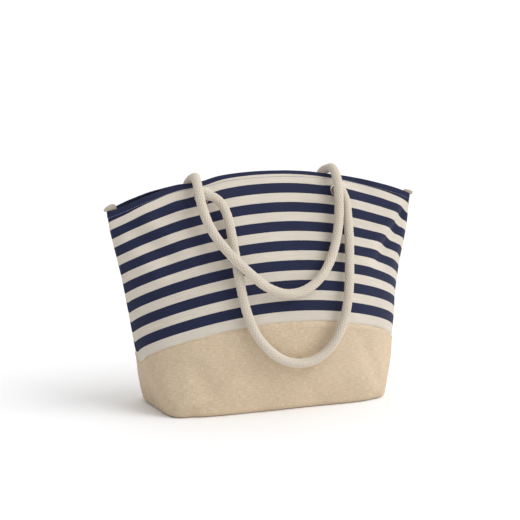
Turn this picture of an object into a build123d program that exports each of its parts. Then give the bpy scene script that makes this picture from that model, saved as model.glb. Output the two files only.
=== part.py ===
"""Striped canvas beach bag with a plain woven base, a zipped mouth and two rope handles.

Millimetres, +Z up, X along the bag's width, -Y towards the front.
The origin is the middle of the flat underside.
"""
import math
import os

from build123d import *

# ---------------------------------------------------------------- driving sizes
# Body: (height, half width, half depth, fullness), from the floor to just over the mouth.
# Fullness 2.4 is a lens that closes at the side seams; 7 is a boxed corner.
BODY_SECTIONS = [
    (0, 178, 84, 7.0),
    (60, 199, 87, 3.4),
    (140, 219.5, 90, 2.5),
    (220, 232, 70, 2.4),
    (295, 247, 37, 2.4),
    (330, 249, 20, 2.4),
    (354, 250, 3.5, 2.4),
]
CLOTH = 2.0                 # thickness of canvas and base cloth, with their linings and hems
BASE_EDGE_RADIUS = 8.0      # soft fold between base and walls
TOP_HEIGHT = 348.5          # middle of the arched mouth
TOP_RADIUS = 710.0          # arc of the mouth, seen from the front
SEAM_HEIGHT = 134.0         # middle of the arched canvas-to-base seam
SEAM_RADIUS = 395.0

ROPE = 15.0                 # handle rope diameter
EYELET_X = 109.0            # eyelets, either side of the middle
EYELET_Z = 317.0
EYELET_FLANGE = 23.0        # outside diameter
EYELET_BORE = 16.0
EYELET_WALL = 0.6

ZIP_DROP = 9.0              # chain lies this far under the mouth's edges
ZIP_END_X = 214.0           # chain, either side of the middle
TAPE_END_X = 234.0
TAPE_THICKNESS = 0.8
COIL_INNER = 0.9            # half gap between the two rows of teeth
COIL_OUTER = 3.0
COIL_HEIGHT = 2.4
SLIDER_X = 205.0            # slider at rest, closed, at the right-hand end

GAP = 0.3                   # running gap between parts that move

# ---------------------------------------------------------------- worked-out sizes
ROPE_R = ROPE / 2
MOUTH_CENTRE_Z = TOP_HEIGHT - TOP_RADIUS
SEAM_CENTRE_Z = SEAM_HEIGHT - SEAM_RADIUS
ZIP_RADIUS = TOP_RADIUS - ZIP_DROP
ZIP_HALF_ANGLE = math.degrees(math.asin(ZIP_END_X / ZIP_RADIUS))
TAPE_HALF_ANGLE = math.degrees(math.asin(TAPE_END_X / ZIP_RADIUS))
SECTION_POINTS = 24
BAR_LENGTH = 400.0          # round bars that cut the arches are longer than the bag is deep
MOUTH_AXIS = Axis((0, 0, MOUTH_CENTRE_Z), (0, 1, 0))
FRONT, BACK = -1, 1

os.makedirs("parts", exist_ok=True)


def save(name, builder):
    """Label one finished piece and write its file."""
    builder.part.label = name
    export_step(builder.part, f"parts/{name}.step")


def mouth_z(x, rise=0.0):
    """Height of the mouth's edge at x."""
    return MOUTH_CENTRE_Z + math.sqrt(TOP_RADIUS**2 - x**2) + rise


# ---------------------------------------------------------------- body shell
def half_outline(half_width, half_depth, fullness):
    """Points from one side seam to the other, round the front of the bag."""
    squareness = 1 + 1.1 * (fullness - 2)
    points = []
    for i in range(SECTION_POINTS + 1):
        across = math.cos(math.pi * i / SECTION_POINTS)
        deep = max(0.0, 1 - abs(across) ** fullness) ** (1 / squareness)
        points.append((half_width * across, -half_depth * deep))
    return points


def inset_section(section):
    """The same section measured inside the cloth."""
    height, half_width, half_depth, fullness = section
    squareness = 1 + 1.1 * (fullness - 2)
    closing = (1 - (CLOTH / half_depth) ** squareness) ** (1 / fullness)
    inner_width = min(half_width - CLOTH, half_width * closing)
    return (height, inner_width, half_depth - CLOTH, fullness)


def section_face(height, half_width, half_depth, fullness):
    """One closed section of the body."""
    outline = half_outline(half_width, half_depth, fullness)
    with BuildSketch(Plane.XY.offset(height)) as sketch:
        with BuildLine():
            Spline(*outline)
            mirror(about=Plane.XZ)
        make_face()
    return sketch.sketch.face()


with BuildPart() as body_outside:
    loft(sections=[section_face(*section) for section in BODY_SECTIONS])
    fillet(body_outside.faces().sort_by(Axis.Z)[0].edges(), BASE_EDGE_RADIUS)

with BuildPart() as body_inside:
    loft(sections=[section_face(*inset_section(section)) for section in BODY_SECTIONS])
    split(bisect_by=Plane.XY.offset(CLOTH), keep=Keep.TOP)
    fillet(body_inside.faces().sort_by(Axis.Z)[0].edges(), BASE_EDGE_RADIUS - CLOTH)


def cylinder_about_y(radius, centre_z, mode):
    """A long round bar through the bag from front to back, in the part being built."""
    with Locations((0, 0, centre_z)):
        Cylinder(radius, BAR_LENGTH, rotation=(90, 0, 0), mode=mode)


with BuildPart() as body_shell:
    add(body_outside.part)
    add(body_inside.part, mode=Mode.SUBTRACT)
    cylinder_about_y(TOP_RADIUS, MOUTH_CENTRE_Z, Mode.INTERSECT)

with BuildPart() as cavity:
    add(body_inside.part)
    cylinder_about_y(TOP_RADIUS, MOUTH_CENTRE_Z, Mode.INTERSECT)

with BuildPart() as base_panel:
    add(body_shell.part)
    cylinder_about_y(SEAM_RADIUS, SEAM_CENTRE_Z, Mode.INTERSECT)
save("base_panel", base_panel)


def eyelet_plane(face_side, x):
    """Plane on the cloth's outer face at an eyelet, its Z pointing out of the bag."""
    ray = Axis((x, face_side * 200, EYELET_Z), (0, -face_side, 0))
    hits = body_outside.part.find_intersection_points(ray)
    point, normal = max(hits, key=lambda hit: hit[0].Y * face_side)
    if normal.Y * face_side < 0:
        normal = -normal
    return Plane(origin=point, x_dir=(1, 0, 0), z_dir=normal)


EYELETS = {
    "front_left": (FRONT, eyelet_plane(FRONT, -EYELET_X)),
    "front_right": (FRONT, eyelet_plane(FRONT, EYELET_X)),
    "back_left": (BACK, eyelet_plane(BACK, -EYELET_X)),
    "back_right": (BACK, eyelet_plane(BACK, EYELET_X)),
}

EYELET_HOLE = EYELET_BORE / 2 + EYELET_WALL + 0.5
HOLE_REACH = 3 * CLOTH

for side, panel_name in ((FRONT, "front_canvas_panel"), (BACK, "back_canvas_panel")):
    with BuildPart() as canvas_panel:
        add(body_shell.part)
        cylinder_about_y(SEAM_RADIUS, SEAM_CENTRE_Z, Mode.SUBTRACT)
        split(bisect_by=Plane.XZ, keep=Keep.TOP if side == FRONT else Keep.BOTTOM)
        for eyelet_side, seat in EYELETS.values():
            if eyelet_side == side:
                with BuildSketch(seat.offset(-HOLE_REACH)):
                    Circle(EYELET_HOLE)
                extrude(amount=2 * HOLE_REACH, mode=Mode.SUBTRACT)
    save(panel_name, canvas_panel)

# ---------------------------------------------------------------- eyelets and washers
FLANGE_STANDOFF = 0.5       # the cloth is curved and the metal is flat
FLANGE_THICKNESS = 1.4
WASHER_THICKNESS = 1.0
BARREL_PAST_WASHER = 1.2
WASHER_CLEARANCE = 0.2
BARREL_END = CLOTH + FLANGE_STANDOFF + WASHER_THICKNESS + BARREL_PAST_WASHER

for position, (eyelet_side, seat) in EYELETS.items():
    section_plane = Plane(origin=seat.origin, x_dir=seat.x_dir, z_dir=-seat.y_dir)
    bore = EYELET_BORE / 2
    flange = EYELET_FLANGE / 2
    with BuildPart() as eyelet:
        with BuildSketch(section_plane):
            with BuildLine():
                Polyline(
                    (bore + EYELET_WALL, FLANGE_STANDOFF),
                    (bore + EYELET_WALL, -BARREL_END + EYELET_WALL),
                    (bore + 3 * EYELET_WALL, -BARREL_END + EYELET_WALL),
                    (bore + 3 * EYELET_WALL, -BARREL_END),
                    (bore, -BARREL_END),
                    (bore, FLANGE_STANDOFF + FLANGE_THICKNESS / 2),
                )
                ThreePointArc(
                    (bore, FLANGE_STANDOFF + FLANGE_THICKNESS / 2),
                    ((bore + flange) / 2, FLANGE_STANDOFF + FLANGE_THICKNESS),
                    (flange, FLANGE_STANDOFF),
                )
                Line((flange, FLANGE_STANDOFF), (bore + EYELET_WALL, FLANGE_STANDOFF))
            make_face()
        revolve(axis=Axis(seat.origin, seat.z_dir))
    save(f"{position}_eyelet", eyelet)

    with BuildPart() as washer:
        with BuildSketch(seat.offset(-CLOTH - FLANGE_STANDOFF)):
            Circle(flange)
            Circle(bore + EYELET_WALL + WASHER_CLEARANCE, mode=Mode.SUBTRACT)
        extrude(amount=-WASHER_THICKNESS)
    save(f"{position}_washer", washer)

# ---------------------------------------------------------------- rope ends and knots
STUB_OUT = 4.5              # the fixed rope end stops just outside the eyelet
STUB_ROUNDING = 1.5
STUB_IN = 16.0              # and turns down inside the bag
STUB_BEND = 9.0             # radius of that turn
HANG_INWARD, HANG_DOWN = 0.35, 0.94
KNOT_DROP = 24.0            # from the turn to the middle of the knot
KNOT_R = 13.0
KNOT_LENGTH = 24.0
KNOT_ROUNDING = 5.0
TAIL_LENGTH = 20.0

for position, (eyelet_side, seat) in EYELETS.items():
    mouth_point = seat.origin + seat.z_dir * STUB_OUT
    turn_point = seat.origin - seat.z_dir * STUB_IN
    hang = Vector(0, HANG_INWARD * eyelet_side, -HANG_DOWN).normalized()
    knot_middle = turn_point + hang * KNOT_DROP
    with BuildPart() as knot:
        with BuildLine() as stub_line:
            FilletPolyline(mouth_point, turn_point, knot_middle, radius=STUB_BEND)
        with BuildSketch(Plane(origin=mouth_point, z_dir=-seat.z_dir)):
            Circle(ROPE_R)
        sweep(path=stub_line.line)
        stub_rim = knot.edges().filter_by(GeomType.CIRCLE).sort_by_distance(mouth_point)[0]
        fillet(stub_rim, STUB_ROUNDING)
        with BuildSketch(Plane(origin=knot_middle - hang * KNOT_LENGTH / 2, z_dir=hang)):
            Circle(KNOT_R)
        extrude(amount=KNOT_LENGTH)
        knot_rims = knot.edges().filter_by(GeomType.CIRCLE).filter_by(
            lambda edge: abs(edge.radius - KNOT_R) < 0.01)
        fillet(knot_rims, KNOT_ROUNDING)
        with BuildSketch(Plane(origin=knot_middle, z_dir=hang)):
            Circle(ROPE_R)
        extrude(amount=TAIL_LENGTH)
    save(f"{position}_knot", knot)

# ---------------------------------------------------------------- handle ropes
BALL_STANDOFF = STUB_OUT + GAP + ROPE_R     # pivot of a handle, out from the cloth


def pivot(position):
    """Centre of the rope's ball end outside an eyelet."""
    seat = EYELETS[position][1]
    return seat.origin + seat.z_dir * BALL_STANDOFF


# From the left eyelet, down the front of the bag and up to the right eyelet.
FRONT_HANDLE_ROUTE = [
    pivot("front_left"),
    (-93, -40.5, 319),
    (-82, -49, 303),
    (-78, -58, 281),
    (-76, -74, 240),
    (-75, -91, 196),
    (-68, -101, 152),
    (-50, -102, 113),
    (-15, -101, 80),
    (28, -100, 70),
    (64, -101, 88),
    (85, -102, 124),
    (96, -98, 166),
    (104, -83, 208),
    (111, -66, 250),
    (115, -50, 284),
    (116, -43, 303),
    pivot("front_right"),
]

# From the back left eyelet, up over the mouth, down the front, over the front handle and back.
BACK_HANDLE_ROUTE = [
    pivot("back_left"),
    (-111, 38.5, 334),
    (-113, 32, 347),
    (-117, 15, 352),
    (-123, -16, 350.5),
    (-127, -38, 337),
    (-123, -51, 306),
    (-109, -64, 272),
    (-88, -90, 238),
    (-64, -101, 214),
    (-36, -100, 189),
    (0, -99, 176),
    (36, -97, 184),
    (66, -88, 210),
    (87, -72, 246),
    (96, -59, 283),
    (97, -47, 318),
    (96, -37, 340),
    (98, -16, 355),
    (101, 14, 355.5),
    (104, 32, 349),
    (107, 39, 336),
    pivot("back_right"),
]


def corner_radii(route):
    """Largest fair arc at each inner point of a route: 0.45 of the shorter run."""
    points = [Vector(*p) if isinstance(p, tuple) else p for p in route]
    radii = []
    for before, here, after in zip(points, points[1:], points[2:]):
        arriving = here - before
        leaving = after - here
        half_turn = math.radians(arriving.get_angle(leaving)) / 2
        shorter = min(arriving.length, leaving.length)
        radii.append(0.45 * shorter / math.tan(half_turn))
    return radii


def rope_handle(name, route):
    """A rope tube along a route, with a ball at each end that turns in its eyelet."""
    radii = corner_radii(route)
    first, second, last = Vector(*route[0]), Vector(*route[1]), Vector(*route[-1])
    with BuildPart() as rope:
        with BuildLine() as line:
            FilletPolyline(*route, radius=radii)
        with BuildSketch(Plane(origin=first, z_dir=second - first)):
            Circle(ROPE_R)
        sweep(path=line.line)
        tube_volume = rope.part.volume
        with Locations(first, last):
            Sphere(ROPE_R)
    length = line.wire().length
    ratio = tube_volume / (math.pi * ROPE_R**2 * length)
    print(f"{name}: line {length:.1f} mm, volume over section x length {ratio:.4f}")
    print(f"  arc radii {[round(r, 1) for r in radii]}")
    save(name, rope)


rope_handle("front_handle_rope", FRONT_HANDLE_ROUTE)
rope_handle("back_handle_rope", BACK_HANDLE_ROUTE)


# ---------------------------------------------------------------- zip: tapes, teeth, stops
def zip_plane(angle):
    """Plane through the mouth's axis: its X points out along the radius, its Y to the back."""
    turn = math.radians(angle)
    outward = Vector(math.sin(turn), 0, math.cos(turn))
    origin = Vector(0, 0, MOUTH_CENTRE_Z) + outward * ZIP_RADIUS
    return Plane(origin=origin, x_dir=outward, z_dir=outward.cross(Vector(0, 1, 0)))


def sweep_zip(start_angle, end_angle, low, high, near, far):
    """A rectangular strip that follows the mouth's arc, in the part being built."""
    with BuildSketch(zip_plane(start_angle)) as profile:
        with Locations(((low + high) / 2, (near + far) / 2)):
            Rectangle(high - low, abs(far - near))
    revolve(profiles=profile.sketch, axis=MOUTH_AXIS, revolution_arc=end_angle - start_angle)


TAPE_REACH = 40.0
STOP_ANGLE = 0.35
STOP_HEIGHT = 3.0

for side, side_name in ((FRONT, "front"), (BACK, "back")):
    with BuildPart() as tape:
        sweep_zip(-TAPE_HALF_ANGLE, TAPE_HALF_ANGLE, -TAPE_THICKNESS / 2, TAPE_THICKNESS / 2,
                  side * COIL_OUTER, side * TAPE_REACH)
        add(cavity.part, mode=Mode.INTERSECT)
    save(f"zip_tape_{side_name}", tape)

    with BuildPart() as coil:
        sweep_zip(-ZIP_HALF_ANGLE, ZIP_HALF_ANGLE, -COIL_HEIGHT / 2, COIL_HEIGHT / 2,
                  side * COIL_INNER, side * COIL_OUTER)
    save(f"zip_coil_{side_name}", coil)

with BuildPart() as top_stops:
    for side in (FRONT, BACK):
        sweep_zip(ZIP_HALF_ANGLE, ZIP_HALF_ANGLE + STOP_ANGLE, -STOP_HEIGHT / 2, STOP_HEIGHT / 2,
                  side * COIL_INNER, side * COIL_OUTER)
save("zip_top_stops", top_stops)

with BuildPart() as bottom_stop:
    sweep_zip(-ZIP_HALF_ANGLE - STOP_ANGLE, -ZIP_HALF_ANGLE, -STOP_HEIGHT / 2, STOP_HEIGHT / 2,
              -COIL_OUTER, COIL_OUTER)
save("zip_bottom_stop", bottom_stop)

# ---------------------------------------------------------------- folded tape ends at the corners
TAB_THICKNESS = 2.4
TAB_INNER_X = 234.0
TAB_FOLD_X = 239.0          # the tab's lower part ends here, inside the side seam
TAB_OUTER_X = 252.0
TAB_OVER_EDGE = 0.6         # underside of the part that shows, over the mouth's edge
TAB_RISE = 6.0
TAB_DEPTH = 8.0
TAB_SLOPE = 3.5
TAB_CORNER = 1.2

for direction, side_name in ((-1, "left"), (1, "right")):
    tab_outline = [
        (TAB_INNER_X, -TAB_DEPTH),
        (TAB_FOLD_X, -TAB_DEPTH),
        (TAB_FOLD_X, TAB_OVER_EDGE),
        (TAB_OUTER_X, TAB_OVER_EDGE),
        (TAB_OUTER_X, TAB_RISE),
        (TAB_INNER_X + TAB_SLOPE, TAB_RISE),
        (TAB_INNER_X, TAB_RISE - 1),
    ]
    with BuildPart() as end_tab:
        with BuildSketch(Plane.XZ):
            with BuildLine():
                Polyline(*[(direction * x, mouth_z(x, rise)) for x, rise in tab_outline],
                         close=True)
            make_face()
        extrude(amount=TAB_THICKNESS / 2, both=True)
        fillet(end_tab.edges().filter_by(Axis.Y), TAB_CORNER)
    save(f"zip_end_tab_{side_name}", end_tab)

# ---------------------------------------------------------------- zip slider and pull
SLIDER_ANGLE = math.degrees(math.asin(SLIDER_X / ZIP_RADIUS))
SLIDER_LENGTH = 13.0
SLIDER_HALF_WIDTH = 4.6
PLATE_NEAR = COIL_HEIGHT / 2 + 0.4
PLATE_FAR = PLATE_NEAR + 1.1
LIP_NEAR = TAPE_THICKNESS / 2 + 0.4
LIP_WIDTH = 1.0
CROWN_BAR = 1.2
CROWN_TOP = 6.2
PIVOT_RISE = 3.9
PIN_R = 0.75
BRIDGE_HALF_LENGTH = 4.5    # the wire bridge that carries the pull
BRIDGE_HALF_WIDTH = 1.2
BRIDGE_LEG = 1.5
WEDGE_BACK, WEDGE_FRONT = 3.5, 0.5      # from the slider's leading end

# Local frame of the slider: X along the chain to the right, Y to the back, Z away from the bag.
chain_plane = zip_plane(SLIDER_ANGLE)
SLIDER_PLANE = Plane(origin=chain_plane.origin, x_dir=-chain_plane.z_dir, z_dir=chain_plane.x_dir)


def slider_box(x_range, y_range, z_range):
    """A box in the slider's own frame, given by its low and high corners."""
    middle_x, middle_y = sum(x_range) / 2, sum(y_range) / 2
    with BuildSketch(SLIDER_PLANE.offset(z_range[0])) as outline:
        with Locations((middle_x, middle_y)):
            Rectangle(x_range[1] - x_range[0], y_range[1] - y_range[0])
    extrude(to_extrude=outline.sketch, amount=z_range[1] - z_range[0])


with BuildPart() as slider:
    half = SLIDER_LENGTH / 2
    for up in (1, -1):
        plate = sorted((up * PLATE_NEAR, up * PLATE_FAR))
        lip = sorted((up * LIP_NEAR, up * PLATE_FAR))
        slider_box((-half, half), (-SLIDER_HALF_WIDTH, SLIDER_HALF_WIDTH), plate)
        for y_low in (-SLIDER_HALF_WIDTH, SLIDER_HALF_WIDTH - LIP_WIDTH):
            slider_box((-half, half), (y_low, y_low + LIP_WIDTH), lip)
    slider_box((half - WEDGE_BACK, half - WEDGE_FRONT),
               (-COIL_INNER + GAP, COIL_INNER - GAP), (-PLATE_FAR, PLATE_FAR))
    bridge_width = (-BRIDGE_HALF_WIDTH, BRIDGE_HALF_WIDTH)
    for x_low in (-BRIDGE_HALF_LENGTH, BRIDGE_HALF_LENGTH - BRIDGE_LEG):
        slider_box((x_low, x_low + BRIDGE_LEG), bridge_width, (PLATE_NEAR, CROWN_TOP))
    slider_box((-BRIDGE_HALF_LENGTH, BRIDGE_HALF_LENGTH), bridge_width,
               (CROWN_TOP - CROWN_BAR, CROWN_TOP))
save("zip_slider", slider)

PULL_LENGTH = 24.0
PULL_HALF_WIDTH = 3.5
PULL_START = 1.0            # the flat tab starts this far from the pin's middle
PULL_CORNER = 2.5
PULL_HOLE_R = 1.2
WINDOW_HALF_WIDTH = 1.7
WINDOW_LENGTH = 6.0
ARM_LENGTH = 3.0
ARM_Y = (PULL_HALF_WIDTH + WINDOW_HALF_WIDTH) / 2

with BuildPart() as pull:
    with BuildSketch(SLIDER_PLANE.offset(PIVOT_RISE - PIN_R)):
        with Locations((-PULL_LENGTH / 2 - PULL_START, 0)):
            RectangleRounded(PULL_LENGTH, 2 * PULL_HALF_WIDTH, PULL_CORNER)
        with Locations((-WINDOW_LENGTH / 2 - PULL_START, 0)):
            Rectangle(WINDOW_LENGTH, 2 * WINDOW_HALF_WIDTH, mode=Mode.SUBTRACT)
        with Locations((-PULL_START, 0)):
            Rectangle(ARM_LENGTH, 3 * PULL_HALF_WIDTH, mode=Mode.SUBTRACT)
        for y_middle in (-ARM_Y, ARM_Y):
            with Locations((-ARM_LENGTH / 2, y_middle)):
                Rectangle(ARM_LENGTH, PULL_HALF_WIDTH - WINDOW_HALF_WIDTH)
        with Locations((-PULL_LENGTH + PULL_HALF_WIDTH - PULL_START, 0)):
            Circle(PULL_HOLE_R, mode=Mode.SUBTRACT)
    extrude(amount=2 * PIN_R)
    pin_start = SLIDER_PLANE.from_local_coords((0, -PULL_HALF_WIDTH, PIVOT_RISE))
    with BuildSketch(Plane(origin=pin_start, z_dir=(0, 1, 0))):
        Circle(PIN_R)
    extrude(amount=2 * PULL_HALF_WIDTH)
save("zip_pull", pull)

pull_axis = SLIDER_PLANE.from_local_coords((0, 0, PIVOT_RISE))
print(f"zip slide turns about (0, 0, {MOUTH_CENTRE_Z:.1f}), through {2 * SLIDER_ANGLE:.2f} degrees")
print(f"pull turns about {pull_axis}")
for handle in ("front_left", "front_right", "back_left", "back_right"):
    print(f"{handle} rope turns about {pivot(handle)}")
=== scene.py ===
"""Looks of the striped canvas beach bag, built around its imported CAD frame.

Metres, +Z up, the front faces -Y. The canvas and base cloth are curved sheets with hems and
seams, the handles are braided rope on NURBS routes, and the zip has single teeth.
"""
import math

import bpy
import numpy as np
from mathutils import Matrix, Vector, noise


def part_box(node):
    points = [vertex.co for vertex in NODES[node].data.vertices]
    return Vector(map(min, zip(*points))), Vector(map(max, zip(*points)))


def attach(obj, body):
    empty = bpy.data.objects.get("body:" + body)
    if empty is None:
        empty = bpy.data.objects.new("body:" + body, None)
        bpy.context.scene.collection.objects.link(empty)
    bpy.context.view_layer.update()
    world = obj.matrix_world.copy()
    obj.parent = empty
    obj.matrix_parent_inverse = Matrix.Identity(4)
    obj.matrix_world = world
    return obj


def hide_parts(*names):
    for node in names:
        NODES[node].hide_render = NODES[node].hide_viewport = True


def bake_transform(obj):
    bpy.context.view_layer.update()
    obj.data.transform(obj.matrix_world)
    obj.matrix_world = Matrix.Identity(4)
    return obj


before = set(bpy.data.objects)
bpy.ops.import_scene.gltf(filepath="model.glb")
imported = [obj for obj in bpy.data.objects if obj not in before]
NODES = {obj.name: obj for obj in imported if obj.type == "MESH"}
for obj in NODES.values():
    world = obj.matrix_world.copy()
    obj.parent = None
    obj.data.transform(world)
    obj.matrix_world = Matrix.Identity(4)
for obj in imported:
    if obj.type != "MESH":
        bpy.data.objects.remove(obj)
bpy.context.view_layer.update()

FRONT, BACK = -1, 1
SIDE_NAMES = {FRONT: "front", BACK: "back"}

# ---------------------------------------------------------------- sizes of the body
# (height, half width, half depth, fullness): fullness 2.4 is a lens, 7 a boxed corner.
BODY_SECTIONS = [
    (0.000, 0.176, 0.084, 7.0),
    (0.060, 0.196, 0.087, 3.7),
    (0.140, 0.213, 0.090, 2.6),
    (0.220, 0.230, 0.070, 2.4),
    (0.295, 0.247, 0.037, 2.4),
    (0.330, 0.249, 0.020, 2.4),
    (0.354, 0.250, 0.0035, 2.4),
]
TOP_HEIGHT, TOP_RADIUS = 0.3485, 0.710      # middle and arc that the zip follows
EDGE_HEIGHT, EDGE_RADIUS = 0.3478, 0.690    # the panels' edges, which bow a little more
STRIPE_RADIUS = 0.580                       # arc of the stripes near the edge
SEAM_HEIGHT, SEAM_RADIUS = 0.1345, 0.540    # canvas-to-base seam, bent by length along the cloth
MOUTH_GAP = 0.0032                          # the closed edges stand this far from the middle
OPEN_END = 0.55                             # less so near the corners, where the slider needs room
MOUTH_LEAN = 0.035                          # and lean in over this much cloth
BASE_FOLD = 0.008                           # radius of the fold between base and walls
HEM = 0.010                                 # depth of the hem at the mouth
HEM_STITCH = 0.0088                         # stitch line, below the edge
CANVAS_THICKNESS = 0.0008
BASE_THICKNESS = 0.0016

ROPE_R = 0.0071                             # round the crowns of the braid
EYELET_DOME = 0.0019                        # top of the metal above the cloth
EYELET_R = 0.0115
BORE_R = 0.008
CLOTH_HOLE_R = 0.0091

ZIP_RADIUS = TOP_RADIUS - 0.009
MOUTH_CENTRE_Z = TOP_HEIGHT - TOP_RADIUS
CHAIN_HALF = 0.003                          # half width of the chain
SLIDER_HALF_WIDTH = 0.0052                  # tape within this reach lies flat in the slider
SLIDER_LEFT = 0.1985                        # teeth right of here are parted


# ---------------------------------------------------------------- small maths helpers
def natural_spline(knots, values):
    """A natural cubic spline through the values, as a function."""
    knots, values = np.array(knots), np.array(values)
    count, step, slope = len(knots), np.diff(knots), np.diff(values) / np.diff(knots)
    matrix, right = np.eye(count), np.zeros(count)
    for i in range(1, count - 1):
        matrix[i, i - 1:i + 2] = step[i - 1], 2 * (step[i - 1] + step[i]), step[i]
        right[i] = 6 * (slope[i] - slope[i - 1])
    bend = np.linalg.solve(matrix, right)

    def at(place):
        i = np.clip(np.searchsorted(knots, place) - 1, 0, count - 2)
        t = place - knots[i]
        first = slope[i] - step[i] * (2 * bend[i] + bend[i + 1]) / 6
        return values[i] + t * (first + t * (bend[i] / 2 + t * (bend[i + 1] - bend[i]) / (6 * step[i])))

    return at


def smoothstep(low, high, value):
    """0 below low, 1 above high and smooth between."""
    t = np.clip((value - low) / (high - low), 0, 1)
    return t * t * (3 - 2 * t)


def bell(distance, width):
    return np.exp(-(distance / width) ** 2)


def running_length(points):
    """Length along a line of points, from its start."""
    return np.concatenate([[0], np.cumsum(np.linalg.norm(np.diff(points, axis=0), axis=1))])


def resample(points, distances):
    """Points on a line at the given distances from its start."""
    length = running_length(points)
    return np.stack([np.interp(distances, length, points[:, k]) for k in range(3)], axis=1)


def unit(vectors):
    return vectors / np.maximum(np.linalg.norm(vectors, axis=-1, keepdims=True), 1e-12)


HEIGHTS, HALF_WIDTHS, HALF_DEPTHS, FULLNESSES = zip(*BODY_SECTIONS)
half_width = natural_spline(HEIGHTS, HALF_WIDTHS)
half_depth = natural_spline(HEIGHTS, HALF_DEPTHS)
fullness = natural_spline(HEIGHTS, FULLNESSES)


def depth_at(x, z):
    """How far the body's surface stands in front of the middle plane."""
    full = fullness(z)
    inside = np.maximum(0, 1 - np.minimum(1, np.abs(x) / half_width(z)) ** full)
    return half_depth(z) * inside ** (1 / (1 + 1.1 * (full - 2)))


# ---------------------------------------------------------------- mesh helpers
def mesh_object(name, points, faces, smooth=True):
    mesh = bpy.data.meshes.new(name)
    mesh.from_pydata([tuple(p) for p in np.asarray(points)], [], [tuple(f) for f in faces])
    mesh.update()
    if smooth:
        mesh.shade_smooth()
    piece = bpy.data.objects.new(name, mesh)
    bpy.context.scene.collection.objects.link(piece)
    return piece


def grid_faces(rows, columns, around=False):
    """Quads of a grid whose points are numbered row by row; around joins its last column to the first."""
    r, c = np.meshgrid(np.arange(rows - 1), np.arange(columns if around else columns - 1), indexing="ij")
    right = (c + 1) % columns
    here, below = r * columns, (r + 1) * columns
    quads = np.stack([here + c, here + right, below + right, below + c], -1)
    return quads.reshape(-1, 4)


def set_uv(piece, uv, around=None):
    """A fabric map in metres from a value at each point. around is where u closes on itself."""
    mesh = piece.data
    layer = mesh.uv_layers.new(name="fabric")
    corner = np.zeros(len(mesh.loops), np.int32)
    mesh.loops.foreach_get("vertex_index", corner)
    values = np.asarray(uv)[corner].reshape(-1, 2)
    if around:
        for polygon in mesh.polygons:
            u = values[polygon.loop_start:polygon.loop_start + polygon.loop_total, 0]
            if u.max() - u.min() > around / 2:
                u[u < around / 2] += around
    layer.data.foreach_set("uv", values.astype(np.float32).ravel())


def set_values(piece, name, values):
    """A number for each point, which a material can read."""
    layer = piece.data.attributes.new(name, "FLOAT", "POINT")
    layer.data.foreach_set("value", np.asarray(values, np.float32).ravel())


def solidify(piece, thickness, offset=-1):
    cloth = piece.modifiers.new("thickness", "SOLIDIFY")
    cloth.thickness = thickness
    cloth.offset = offset
    return piece


def finish_piece(piece, body, material, replaced=()):
    """Gives a finished piece its material, its body and the CAD nodes it stands for."""
    piece.data.materials.append(material)
    if body:
        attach(piece, body)
    if replaced:
        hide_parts(*replaced)
    return piece


# ---------------------------------------------------------------- materials
def linear(red, green, blue):
    """A colour given in 0-255 display values, as the shader wants it."""
    def one(value):
        value /= 255
        return value / 12.92 if value <= 0.04045 else ((value + 0.055) / 1.055) ** 2.4
    return (one(red), one(green), one(blue), 1.0)


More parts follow.
